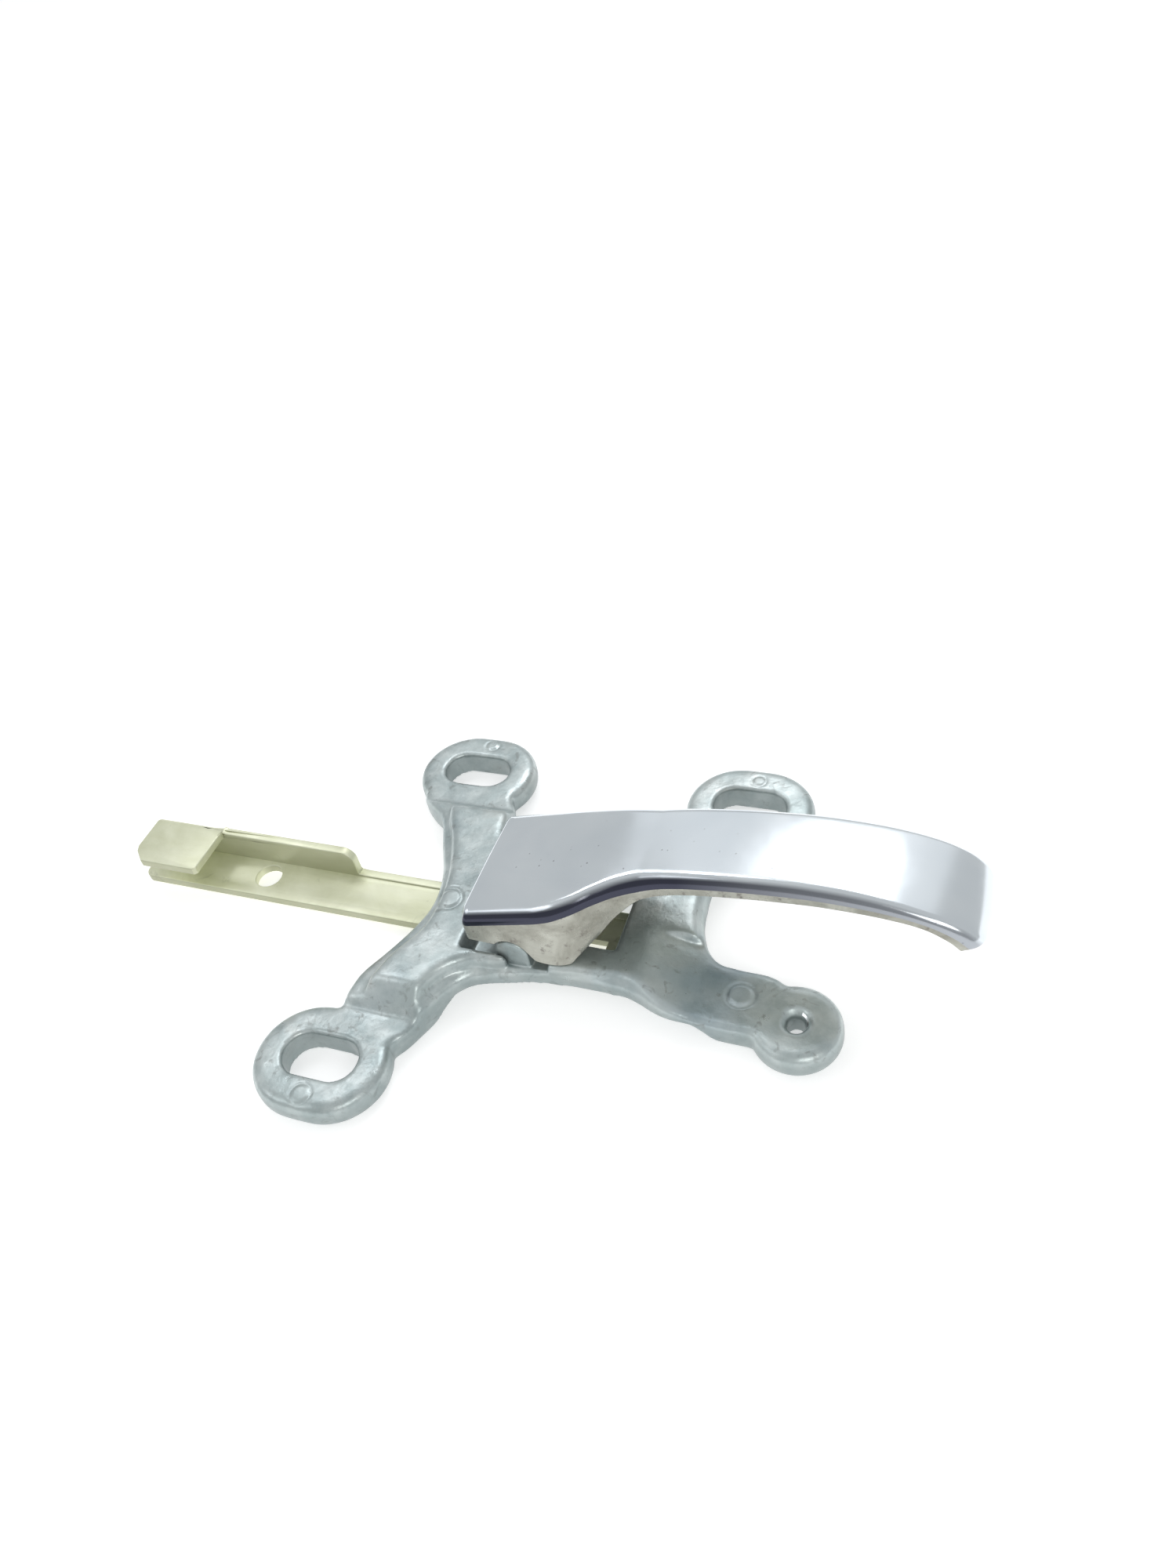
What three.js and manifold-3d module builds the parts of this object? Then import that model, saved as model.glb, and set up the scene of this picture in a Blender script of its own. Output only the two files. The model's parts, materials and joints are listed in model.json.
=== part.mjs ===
// Inside door release handle: a four-armed cast bracket, a polished bow lever
// that turns on a cross pin, a folded steel pull bar and a torsion return spring.
// Millimetres. +X runs along the pull bar towards the lever's free end, +Y is
// the side of the two rear lugs, +Z points away from the mounting face.
// The working frame has its origin under the centre of the rear left lug, on
// the mounting face; the whole group is then moved so that the origin is the
// centre of the base of the object's bounding box.

import * as THREE from "three";
import { mergeVertices } from "three/addons/utils/BufferGeometryUtils.js";
import Module from "manifold-3d";

const wasm = await Module();
wasm.setup();

// ---- Driving dimensions -------------------------------------------------

const ROW_X = 51.7; // rear left lug to rear right lug
const ROW_Y = 63.2; // rear left lug to front left lug
const TAPPED = { x: 68.2, y: -41.2 }; // centre of the tapped lug
const LUG = { length: 21.8, width: 18, top: 4.4, edge: 1.2 };
const SLOT = { length: 13, width: 7.8 };
const TAPPED_LUG_R = 6.7;
const THREAD_R = 1.65; // minor radius of an M4 thread
const COUNTERSINK = { r: 2.45, depth: 1 };

const LEDGE = { top: 6, edge: 0.9 }; // the casting's lowest upper face off the lugs
const RIDGE = { bottom: 3.4, top: 8.6, edge: 1.1 };
const PAD = { bottom: 3.4, top: 6.9, edge: 0.8 };
const SLOPE = { near: 9.2, far: 13.2 }; // lug centre to the foot and head of an arm's slope
const SLOPE_D = { head: 44, foot: 53, rear: -31 };
const UNDERSIDE = { z: 3, near: 11.5, far: 16, right: 57, rightHead: 53 };

const BAR_Y = -30; // centre line of the pull bar
const BAR = { left: -53.8, right: 46, width: 9.4, bottom: 0.4, thick: 1.6 };
const FLANGE = { right: -12.4, top: 8, cornerR: 2.2 };
const TAB = { left: -53.4, right: -39.2, front: -36, chamfer: 2.4 };
const BAR_HOLE = { x: -29.3, y: -30.2, r: 2.4 };
const BAR_NOTCH = { left: 28, right: 35.8, y: -31.4 };
const BAR_CORNER_R = 1.6;
const RIB = { thick: 1.2, gap: 0.4, bottom: 0.4 };

const PIVOT = { x: 24.2, z: 8.4 };
const PIN = { r: 1.5, front: -40.2, rear: -19.5 };
const BORE_R = 1.8; // the pin's radius and the clearance that faceted solids need
const BOSS = { r: 2.6, front: -41.4, rear: -19.2, length: 4.8 };
const POCKET = { left: 15, floorLeft: 16.4, right: 30, front: -42, rear: -18.6, floor: 5.6 };
const WINDOW = { left: 19.5, right: 39.3, front: -36.4, rear: -24 };

const LEVER = { left: 16.9, front: -41.6, rear: -19, gripFront: -34.4 };
const WALL = 2; // wall of the lever's hollow root
const LEVER_EDGE = 0.8;
const NOTCH_R = 3; // the side webs clear the bosses by this radius
const HUB = { r: 3.2, front: -32.6, rear: -24.5 };
const FOOT = { half: 1.3, front: -32.6, rear: -28.6, tip: 0.5 };
const FOOT_SLOT = { left: 22, right: 26.3, clearance: 0.4 };
const SPRING = { wire: 0.8, meanR: 2.6, front: -35.8, rear: -33.4, turns: 3 };

const ORIGIN = { x: 19.4, y: -31.6 }; // centre of the bounding box, seen from above

// ---- Materials ----------------------------------------------------------

const finish = (color, roughness, metalness) =>
  new THREE.MeshStandardMaterial({ color, roughness, metalness });
const CAST_ZINC = () => finish(0xa4b0b4, 0.48, 0.85);
const POLISHED = () => finish(0xdcdee8, 0.12, 1);
const YELLOW_ZINC = () => finish(0xcdd0ac, 0.38, 0.8);
const SPRING_STEEL = () => finish(0x8d8f94, 0.35, 0.9);
const BRIGHT_STEEL = () => finish(0xb9bcc0, 0.3, 0.95);

// ---- Shape helpers ------------------------------------------------------

const at = ([x, y]) => new THREE.Vector2(x, y);

// Closed smooth outline through the given points.
function smoothOutline(points, samples) {
  const curve = new THREE.CatmullRomCurve3(
    points.map(([x, y]) => new THREE.Vector3(x, y, 0)),
    true,
    "centripetal",
  );
  return curve.getPoints(samples).slice(0, -1).map((p) => new THREE.Vector2(p.x, p.y));
}

// Open smooth line through the given points.
function smoothLine(points, samples) {
  return new THREE.SplineCurve(points.map(at)).getPoints(samples);
}

// Outline with parallel sides and round ends, along X, centred on (x, y).
function stadium(x, y, length, width) {
  const r = width / 2;
  const reach = length / 2 - r;
  const shape = new THREE.Shape();
  shape.moveTo(x - reach, y - r);
  shape.lineTo(x + reach, y - r);
  shape.absarc(x + reach, y, r, -Math.PI / 2, Math.PI / 2, false);
  shape.lineTo(x - reach, y + r);
  shape.absarc(x - reach, y, r, Math.PI / 2, (3 * Math.PI) / 2, false);
  return shape;
}

function circle(x, y, r) {
  const shape = new THREE.Shape();
  shape.absarc(x, y, r, 0, 2 * Math.PI, false);
  return shape;
}

// Closed three.js geometry as a manifold-3d solid.
function solid(geometry) {
  const g = geometry.clone();
  g.deleteAttribute("normal");
  g.deleteAttribute("uv");
  const merged = mergeVertices(g, 1e-4);
  return new wasm.Manifold(
    new wasm.Mesh({
      numProp: 3,
      vertProperties: new Float32Array(merged.attributes.position.array),
      triVerts: new Uint32Array(merged.index.array),
    }),
  );
}

function geometryOf(body) {
  const mesh = body.getMesh();
  const g = new THREE.BufferGeometry();
  g.setAttribute("position", new THREE.BufferAttribute(mesh.vertProperties.slice(), 3));
  g.setIndex(new THREE.BufferAttribute(mesh.triVerts.slice(), 1));
  g.computeVertexNormals();
  return g;
}

// Outline as a prism of the given depth, its end edges rounded by edge.
function prism(outline, depth, edge, curveSegments) {
  const shape = outline instanceof THREE.Shape ? outline : new THREE.Shape(outline);
  const g = new THREE.ExtrudeGeometry(shape, {
    depth: depth - 2 * edge,
    curveSegments,
    bevelEnabled: edge > 0,
    bevelThickness: edge,
    bevelSize: edge,
    bevelOffset: -edge,
    bevelSegments: 2,
  });
  g.translate(0, 0, edge);
  return g;
}

// Outline in the XY plane, raised from z0 to z1.
function raised(outline, z0, z1, edge = 0, curveSegments = 10) {
  const g = prism(outline, z1 - z0, edge, curveSegments);
  g.translate(0, 0, z0);
  return solid(g);
}

// Profile in the XZ plane, drawn out along Y from y0 to y1.
function across(profile, y0, y1, edge = 0) {
  const g = prism(profile, y1 - y0, edge, 8);
  g.rotateX(Math.PI / 2);
  g.translate(0, y1, 0);
  return solid(g);
}

// Profile in the YZ plane, drawn out along X from x0 to x1.
function along(profile, x0, x1) {
  const g = prism(profile, x1 - x0, 0, 8);
  g.rotateX(Math.PI / 2);
  g.rotateZ(Math.PI / 2);
  g.translate(x0, 0, 0);
  return solid(g);
}

// Round bar along Y through the pivot, from y0 to y1.
function onPivot(r, y0, y1, sides = 32) {
  const g = new THREE.CylinderGeometry(r, r, y1 - y0, sides);
  g.translate(PIVOT.x, (y0 + y1) / 2, PIVOT.z);
  return solid(g);
}

function block([x0, y0, z0], [x1, y1, z1]) {
  const g = new THREE.BoxGeometry(x1 - x0, y1 - y0, z1 - z0);
  g.translate((x0 + x1) / 2, (y0 + y1) / 2, (z0 + z1) / 2);
  return solid(g);
}

// ---- Bracket ------------------------------------------------------------

const LUG_CENTRES = [
  [0, 0],
  [0, -ROW_Y],
  [ROW_X, 0],
];

const BODY_OUTLINE = [
  [-5, -2], [-7.3, -7.7], [-4.8, -10.7], [-1.2, -13.4], [2, -20], [4.9, -26.5], [5.9, -33],
  [4.6, -38.4], [2.2, -44], [0.1, -48.4], [-1, -54.5], [-5.5, -58], [-4, -62], [6, -62],
  [10.6, -57.6], [12.6, -53.4], [14.8, -48.8], [17.4, -45.4], [22, -43.6], [28, -42],
  [42.4, -41.9], [48.6, -44.1], [54, -44.4], [61, -44.6], [67, -44], [68, -38],
  [64, -34.4], [58.8, -33.9], [55, -33.5], [52.6, -31.6], [50.9, -28], [50.2, -23],
  [50.3, -18], [52.6, -12], [58, -8], [56, -2], [47, -2], [43.8, -8], [41, -12.6], [37, -15.8],
  [30, -17.2], [21, -17.3], [15, -16.6], [12.6, -13.6], [10.6, -9], [8, -4], [5, -2],
];

const RIDGE_OUTLINE = [
  [1, -7], [1.2, -13.4], [4.4, -20], [6.8, -26.4], [7.9, -32], [7.7, -39], [4.9, -45],
  [3.7, -49], [2.9, -54], [6, -58], [11.4, -57], [11.9, -51], [14.2, -46.2], [18, -43.6],
  [22.7, -42.6], [25, -40], [21, -34], [19, -27], [16.6, -21], [13.4, -17.6],
  [12.2, -13], [10, -7],
];

const PAD_OUTLINE = [
  [28, -41.2], [35, -41.2], [42.6, -41.1], [48.6, -43.3], [56, -43.6], [57, -35],
  [52.4, -33], [50.1, -28.4], [49.4, -23], [49.6, -17], [51.6, -11], [47, -7], [43, -11],
  [38, -15.2], [30, -16.4], [25, -18], [24, -30],
];

// Space above the slopes that lead down to a pair of lugs, on the given side.
function aboveSlope(lugY, side, top) {
  const head = lugY - side * SLOPE.far;
  const foot = lugY - side * SLOPE.near;
  const end = lugY + side * 20;
  return along([[head, top + 0.01], [foot, LUG.top], [end, LUG.top], [end, 20], [head, 20]].map(at), -30, 90);
}

// Space above the slope that leads down to the tapped lug.
function aboveTappedSlope() {
  const { head, foot, rear } = SLOPE_D;
  return across(
    [[head, PAD.top + 0.01], [foot, LUG.top], [90, LUG.top], [90, 20], [head, 20]].map(at),
    -70,
    rear,
  );
}

// Space under the casting that the pull bar runs through: a low hipped roof.
function underside() {
  const { z, near, far, right, rightHead } = UNDERSIDE;
  const acrossArms = along(
    [[-near, -1], [-near, 0], [-far, z], [far - ROW_Y, z], [near - ROW_Y, 0], [near - ROW_Y, -1]].map(at),
    -30,
    90,
  );
  const alongBar = across([[-30, -1], [right, -1], [right, 0], [rightHead, z], [-30, z]].map(at), -80, 20);
  return acrossArms.intersect(alongBar);
}

// Recess that the lever's root turns in; its left wall leans away from the lever.
function pocket() {
  const { left, floorLeft, right, front, rear, floor } = POCKET;
  return across(
    [[floorLeft, floor], [right, floor], [right, 20], [left, 20], [left, RIDGE.top]].map(at),
    front,
    rear,
  );
}

function boss(y0, y1) {
  return onPivot(BOSS.r, y0, y1).add(
    block([PIVOT.x - BOSS.r, y0, POCKET.floor - 1], [PIVOT.x + BOSS.r, y1, PIVOT.z]),
  );
}

function tappedHole() {
  const { r, depth } = COUNTERSINK;
  const g = new THREE.LatheGeometry(
    [
      [0, -1],
      [THREAD_R, -1],
      [THREAD_R, LUG.top - depth],
      [r, LUG.top],
      [r, LUG.top + 1],
      [0, LUG.top + 1],
    ].map(at),
    28,
  );
  g.rotateX(Math.PI / 2);
  g.translate(TAPPED.x, TAPPED.y, 0);
  return solid(g);
}

// Low ribs under the casting, one on each side of the pull bar.
function guideRibs() {
  const reach = BAR.width / 2 + RIB.gap;
  const ribs = [];
  for (const [x0, x1] of [[8.5, 14], [41, 47.5]])
    for (const side of [-1, 1]) {
      const near = BAR_Y + side * reach;
      const far = near + side * RIB.thick;
      ribs.push(
        block(
          [x0, Math.min(near, far), RIB.bottom],
          [x1, Math.max(near, far), UNDERSIDE.z + 0.5],
        ),
      );
    }
  return ribs;
}

function bracket() {
  const ridge = raised(smoothOutline(RIDGE_OUTLINE, 96), RIDGE.bottom, RIDGE.top, RIDGE.edge);
  let body = raised(smoothOutline(BODY_OUTLINE, 150), 0, LEDGE.top, LEDGE.edge)
    .add(ridge)
    .add(raised(smoothOutline(PAD_OUTLINE, 72), PAD.bottom, PAD.top, PAD.edge))
    .subtract(aboveSlope(0, 1, RIDGE.top))
    .subtract(aboveSlope(-ROW_Y, -1, RIDGE.top))
    .subtract(aboveTappedSlope())
    .subtract(underside());
  for (const [x, y] of LUG_CENTRES)
    body = body.add(raised(stadium(x, y, LUG.length, LUG.width), 0, LUG.top, LUG.edge));
  body = body
    .add(raised(circle(TAPPED.x, TAPPED.y, TAPPED_LUG_R), 0, LUG.top, LUG.edge, 28))
    .subtract(pocket())
    .add(boss(BOSS.front, BOSS.front + BOSS.length))
    .add(boss(BOSS.rear - BOSS.length, BOSS.rear))
    .subtract(block([WINDOW.left, WINDOW.front, -1], [WINDOW.right, WINDOW.rear, 20]))
    .subtract(onPivot(BORE_R, PIN.front - 0.3, BOSS.rear + 1));
  for (const rib of guideRibs()) body = body.add(rib);
  for (const [x, y] of LUG_CENTRES)
    body = body.subtract(raised(stadium(x, y, SLOT.length, SLOT.width), -1, LUG.top + 1));
  return body.subtract(tappedHole());
}

// ---- Lever --------------------------------------------------------------

const ROOT_TOP = [[18, 16.6], [24.5, 18.3], [31.5, 20.3], [38, 21.7], [44.7, 23], [50.9, 24]];
const ROOT_UNDER = [
  [50, 20.2], [44.6, 18.6], [41.8, 16.5], [40, 14.7], [38.2, 12.4], [36.4, 10.5], [33.5, 7.2],
];
const GRIP_TOP = [
  [42, 22.5], [50.9, 24], [57, 24.8], [62.8, 25.4], [67.9, 25.7], [74, 25.6], [79.5, 24.9],
  [85.1, 23.5], [88.6, 22.3], [91, 20.9], [92.6, 18.2],
];
const GRIP_UNDER = [
  [91.6, 17.3], [88.8, 19], [85, 20.8], [81.5, 21.8], [76, 22.4], [71, 22.5], [65.5, 22.2],
  [60, 21.6], [55.3, 21], [50, 20.3], [43, 19],
];
// Front edge of the root where it narrows to the grip, seen from above.
const WAIST = [[30.5, -41.6], [34, -40.3], [38, -37.9], [41.4, -36], [44.7, -34.9], [49, -34.4]];

function plan(inset) {
  return new THREE.Shape([
    at([0, LEVER.front + inset]),
    ...smoothLine(WAIST.map(([x, y]) => [x - inset / 3, y + inset]), 16),
    at([60, LEVER.gripFront + inset]),
    at([60, LEVER.rear - inset]),
    at([0, LEVER.rear - inset]),
  ]);
}

function lever() {
  const root = across(
    [
      ...smoothLine(ROOT_TOP, 14),
      ...smoothLine(ROOT_UNDER, 14),
      at([28.4, 7.4]),
      at([26.6, 10.2]),
      at([16.9, 10.4]),
      at([17, 13.4]),
      at([17.3, 15.8]),
    ],
    LEVER.front,
    LEVER.rear,
    LEVER_EDGE,
  ).intersect(raised(plan(0), 0, 40));
  const grip = across(
    [...smoothLine(GRIP_TOP, 30), ...smoothLine(GRIP_UNDER, 26)],
    LEVER.gripFront,
    LEVER.rear,
    LEVER_EDGE,
  );
  const hollow = across(
    [[18.9, 0], [42, 0], [42, 20], [31.5, 17.9], [24.5, 15.9], [18.9, 14.4]].map(at),
    -50,
    -10,
  ).intersect(raised(plan(WALL), 0, 40));
  const hubTop = across(
    [[PIVOT.x - HUB.r, PIVOT.z], [PIVOT.x + HUB.r, PIVOT.z], [27.4, 18], [21, 16.4]].map(at),
    HUB.front,
    HUB.rear,
  );
  const foot = block(
    [PIVOT.x - FOOT.half, FOOT.front, FOOT.tip],
    [PIVOT.x + FOOT.half, FOOT.rear, PIVOT.z],
  );
  return root
    .add(grip)
    .subtract(hollow)
    .subtract(onPivot(NOTCH_R, LEVER.front - 1, LEVER.front + WALL + 0.1))
    .subtract(onPivot(NOTCH_R, LEVER.rear - WALL - 0.1, LEVER.rear + 1))
    .add(hubTop)
    .add(onPivot(HUB.r, HUB.front, HUB.rear))
    .add(foot)
    .subtract(onPivot(BORE_R, HUB.front - 1, HUB.rear + 1));
}

// ---- Pull bar -----------------------------------------------------------

function pullBar() {
  const front = BAR_Y - BAR.width / 2;
  const rear = BAR_Y + BAR.width / 2;
  const top = BAR.bottom + BAR.thick;
  const r = BAR_CORNER_R;

  const strip = new THREE.Shape();
  strip.moveTo(BAR.left + r, front);
  strip.lineTo(BAR.right - r, front);
  strip.absarc(BAR.right - r, front + r, r, -Math.PI / 2, 0, false);
  strip.absarc(BAR.right - r, rear - r, r, 0, Math.PI / 2, false);
  strip.lineTo(BAR.left, rear);
  strip.absarc(BAR.left + r, front + r, r, Math.PI, (3 * Math.PI) / 2, false);

  // Side view of the rear flange; its free upper corner is rounded.
  const corner = FLANGE.cornerR;
  const side = new THREE.Shape();
  side.moveTo(BAR.left, BAR.bottom);
  side.lineTo(FLANGE.right, BAR.bottom);
  side.absarc(FLANGE.right - corner, FLANGE.top - corner, corner, 0, Math.PI / 2, false);
  side.lineTo(BAR.left, FLANGE.top);

  const tab = [
    [TAB.left + TAB.chamfer, TAB.front],
    [TAB.right, TAB.front],
    [TAB.right, rear],
    [TAB.left, rear],
    [TAB.left, TAB.front + TAB.chamfer],
  ];
  return raised(strip, BAR.bottom, top)
    .add(across(side, rear - BAR.thick, rear))
    .add(raised(tab.map(at), FLANGE.top - BAR.thick, FLANGE.top))
    .subtract(raised(circle(BAR_HOLE.x, BAR_HOLE.y, BAR_HOLE.r), -1, top + 1, 0, 16))
    .subtract(
      block(
        [FOOT_SLOT.left, FOOT.front - FOOT_SLOT.clearance, -1],
        [FOOT_SLOT.right, FOOT.rear + FOOT_SLOT.clearance, 4],
      ),
    )
    .subtract(block([BAR_NOTCH.left, front - 1, -1], [BAR_NOTCH.right, BAR_NOTCH.y, 4]));
}

// ---- Return spring ------------------------------------------------------

// Coils round the pin, with two legs to the left: one bears on the pocket's
// floor, the other on the underside of the lever.
function returnSpring() {
  const { meanR, front, rear, turns, wire } = SPRING;
  const restZ = POCKET.floor + wire / 2 + 0.3;
  const points = [new THREE.Vector3(17, front, restZ), new THREE.Vector3(19.4, front, restZ)];
  const steps = turns * 12;
  for (let i = 1; i <= steps - 2; i++) {
    const t = i / steps;
    const angle = -Math.PI / 2 + 2 * Math.PI * turns * t;
    points.push(
      new THREE.Vector3(
        PIVOT.x + meanR * Math.cos(angle),
        front + (rear - front) * t,
        PIVOT.z + meanR * Math.sin(angle),
      ),
    );
  }
  points.push(new THREE.Vector3(21, rear, 10.4), new THREE.Vector3(20.2, rear, 13.8));
  const g = new THREE.ExtrudeGeometry(circle(0, 0, wire / 2), {
    steps: 2 * steps,
    extrudePath: new THREE.CatmullRomCurve3(points, false, "centripetal"),
    bevelEnabled: false,
    curveSegments: 8,
  });
  return solid(g);
}

// ---- Assembly -----------------------------------------------------------

const assembly = new THREE.Group();

function place(name, body, material) {
  const mesh = new THREE.Mesh(geometryOf(body), material);
  mesh.name = name;
  mesh.position.set(-ORIGIN.x, -ORIGIN.y, 0);
  assembly.add(mesh);
}

place("bracket", bracket(), CAST_ZINC());
place("lever", lever(), POLISHED());
place("pull_bar", pullBar(), YELLOW_ZINC());
place("pivot_pin", onPivot(PIN.r, PIN.front, PIN.rear), BRIGHT_STEEL());
place("return_spring", returnSpring(), SPRING_STEEL());

export default assembly;
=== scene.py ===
import json
import math

import bmesh
import bpy
import numpy as np
from mathutils import Matrix, Vector

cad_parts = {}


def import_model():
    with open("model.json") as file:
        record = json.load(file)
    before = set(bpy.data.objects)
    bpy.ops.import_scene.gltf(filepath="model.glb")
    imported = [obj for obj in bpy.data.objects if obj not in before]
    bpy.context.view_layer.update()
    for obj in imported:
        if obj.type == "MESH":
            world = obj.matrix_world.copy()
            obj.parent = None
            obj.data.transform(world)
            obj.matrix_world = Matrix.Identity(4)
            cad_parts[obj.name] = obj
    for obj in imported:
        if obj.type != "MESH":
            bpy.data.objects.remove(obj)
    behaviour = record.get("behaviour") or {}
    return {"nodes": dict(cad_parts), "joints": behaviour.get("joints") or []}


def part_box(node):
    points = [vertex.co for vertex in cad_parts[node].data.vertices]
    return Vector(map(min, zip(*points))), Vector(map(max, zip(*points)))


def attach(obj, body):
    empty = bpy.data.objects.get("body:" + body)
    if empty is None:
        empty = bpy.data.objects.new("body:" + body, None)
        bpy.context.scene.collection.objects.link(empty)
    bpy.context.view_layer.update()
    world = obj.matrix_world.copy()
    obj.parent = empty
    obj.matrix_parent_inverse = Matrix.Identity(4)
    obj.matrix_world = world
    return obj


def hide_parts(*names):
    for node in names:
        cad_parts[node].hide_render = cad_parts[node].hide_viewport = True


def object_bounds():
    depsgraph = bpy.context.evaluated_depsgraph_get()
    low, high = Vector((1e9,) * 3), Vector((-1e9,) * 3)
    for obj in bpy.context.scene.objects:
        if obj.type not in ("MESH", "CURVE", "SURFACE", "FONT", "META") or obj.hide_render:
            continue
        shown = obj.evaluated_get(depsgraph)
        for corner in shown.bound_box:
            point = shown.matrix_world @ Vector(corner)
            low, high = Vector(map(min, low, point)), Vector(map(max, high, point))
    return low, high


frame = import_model()
cad_low, cad_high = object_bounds()

MM = 0.001

# The layout below is in millimetres from the point under the centre of the rear
# left lug, which the bracket's own box gives.
bracket_low, bracket_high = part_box("bracket")
LUG_HALF_LENGTH, LUG_HALF_WIDTH = 10.9, 9.0
LUG_A = Vector((
    bracket_low.x + LUG_HALF_LENGTH * MM,
    bracket_high.y - LUG_HALF_WIDTH * MM,
    bracket_low.z,
))
ROW_X = 51.7  # from the rear left lug to the rear right one
ROW_Y = (bracket_high.y - bracket_low.y) / MM - 2 * LUG_HALF_WIDTH
TAPPED_LUG_R = 6.7
TAPPED = ((bracket_high.x - LUG_A.x) / MM - TAPPED_LUG_R, -41.2)

pivot = next(j for j in frame["joints"] if j["name"] == "lever_pull")["pos_m"]
PIVOT_X = (pivot[0] - LUG_A.x) / MM
PIVOT_Z = (pivot[2] - LUG_A.z) / MM

lever_low, lever_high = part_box("lever")
LEVER_REAR = (lever_high.y - LUG_A.y) / MM
LEVER_FRONT = (lever_low.y - LUG_A.y) / MM
LEVER_LEFT = (lever_low.x - LUG_A.x) / MM
LEVER_RIGHT = (lever_high.x - LUG_A.x) / MM

bar_low, bar_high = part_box("pull_bar")
BAR_LEFT = (bar_low.x - LUG_A.x) / MM
BAR_RIGHT = (bar_high.x - LUG_A.x) / MM
BAR_REAR = (bar_high.y - LUG_A.y) / MM
BAR_BOTTOM = (bar_low.z - LUG_A.z) / MM
BAR_TOP = (bar_high.z - LUG_A.z) / MM
BAR_THICK = 1.6

pin_low, pin_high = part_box("pivot_pin")


def world(p):
    """A point of the layout, in millimetres, as a place in the scene."""
    return LUG_A + Vector((p[0], p[1], p[2])) * MM


# ---- Nodes for materials --------------------------------------------------

class Paint:
    """A principled material with a small helper for each kind of node it uses."""

    def __init__(self, name):
        self.mat = bpy.data.materials.new(name)
        self.mat.use_nodes = True
        self.nodes = self.mat.node_tree.nodes
        self.links = self.mat.node_tree.links
        self.bsdf = self.nodes["Principled BSDF"]
        self.coords = self.nodes.new("ShaderNodeTexCoord")

    def set(self, **values):
        for key, value in values.items():
            self.bsdf.inputs[key.replace("_", " ")].default_value = value
        return self

    def link(self, out, socket):
        self.links.new(out, socket)

    def noise(self, scale, detail=4.0, rough=0.55, distortion=0.0, stretch=(1, 1, 1)):
        mapping = self.nodes.new("ShaderNodeMapping")
        mapping.inputs["Scale"].default_value = stretch
        self.link(self.coords.outputs["Object"], mapping.inputs["Vector"])
        node = self.nodes.new("ShaderNodeTexNoise")
        node.inputs["Scale"].default_value = scale
        node.inputs["Detail"].default_value = detail
        node.inputs["Roughness"].default_value = rough
        node.inputs["Distortion"].default_value = distortion
        self.link(mapping.outputs["Vector"], node.inputs["Vector"])
        return node.outputs["Fac"]

    def cells(self, scale):
        node = self.nodes.new("ShaderNodeTexVoronoi")
        node.inputs["Scale"].default_value = scale
        self.link(self.coords.outputs["Object"], node.inputs["Vector"])
        return node.outputs["Distance"]

    def ramp(self, fac, *stops):
        node = self.nodes.new("ShaderNodeValToRGB")
        elements = node.color_ramp.elements
        while len(elements) < len(stops):
            elements.new(0.5)
        for element, (position, colour) in zip(elements, stops):
            element.position = position
            grey = isinstance(colour, (int, float))
            element.color = (colour, colour, colour, 1) if grey else (*colour, 1)
        self.link(fac, node.inputs["Fac"])
        return node.outputs["Color"]

    def mix(self, fac, a, b, blend="MIX"):
        node = self.nodes.new("ShaderNodeMix")
        node.data_type = "RGBA"
        node.blend_type = blend
        if isinstance(fac, (int, float)):
            node.inputs[0].default_value = fac
        else:
            self.link(fac, node.inputs[0])
        for value, socket in ((a, node.inputs[6]), (b, node.inputs[7])):
            if isinstance(value, tuple):
                socket.default_value = (*value, 1)
            else:
                self.link(value, socket)
        return node.outputs[2]

    def facing(self, axis, low, high):
        """0 to 1 as the surface's own normal turns from low to high on an axis."""
        geometry = self.nodes.new("ShaderNodeNewGeometry")
        split = self.nodes.new("ShaderNodeSeparateXYZ")
        self.link(geometry.outputs["Normal"], split.inputs[0])
        node = self.nodes.new("ShaderNodeMapRange")
        node.inputs["From Min"].default_value = low
        node.inputs["From Max"].default_value = high
        self.link(split.outputs["XYZ".index(axis)], node.inputs["Value"])
        return node.outputs["Result"]

    def place(self, axis, low, high):
        """0 to 1 along an axis of the object, in metres."""
        split = self.nodes.new("ShaderNodeSeparateXYZ")
        self.link(self.coords.outputs["Object"], split.inputs[0])
        node = self.nodes.new("ShaderNodeMapRange")
        node.inputs["From Min"].default_value = low
        node.inputs["From Max"].default_value = high
        self.link(split.outputs["XYZ".index(axis)], node.inputs["Value"])
        return node.outputs["Result"]

    def times(self, a, b):
        node = self.nodes.new("ShaderNodeMath")
        node.operation = "MULTIPLY"
        for value, socket in ((a, node.inputs[0]), (b, node.inputs[1])):
            if isinstance(value, (int, float)):
                socket.default_value = value
            else:
                self.link(value, socket)
        return node.outputs[0]

    def bump(self, height, strength, distance):
        node = self.nodes.new("ShaderNodeBump")
        node.inputs["Strength"].default_value = strength
        node.inputs["Distance"].default_value = distance
        self.link(height, node.inputs["Height"])
        previous = self.bsdf.inputs["Normal"]
        if previous.is_linked:
            self.link(previous.links[0].from_socket, node.inputs["Normal"])
        self.link(node.outputs["Normal"], previous)

    def colour(self, out):
        self.link(out, self.bsdf.inputs["Base Color"])

    def roughness(self, out):
        self.link(out, self.bsdf.inputs["Roughness"])


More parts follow.
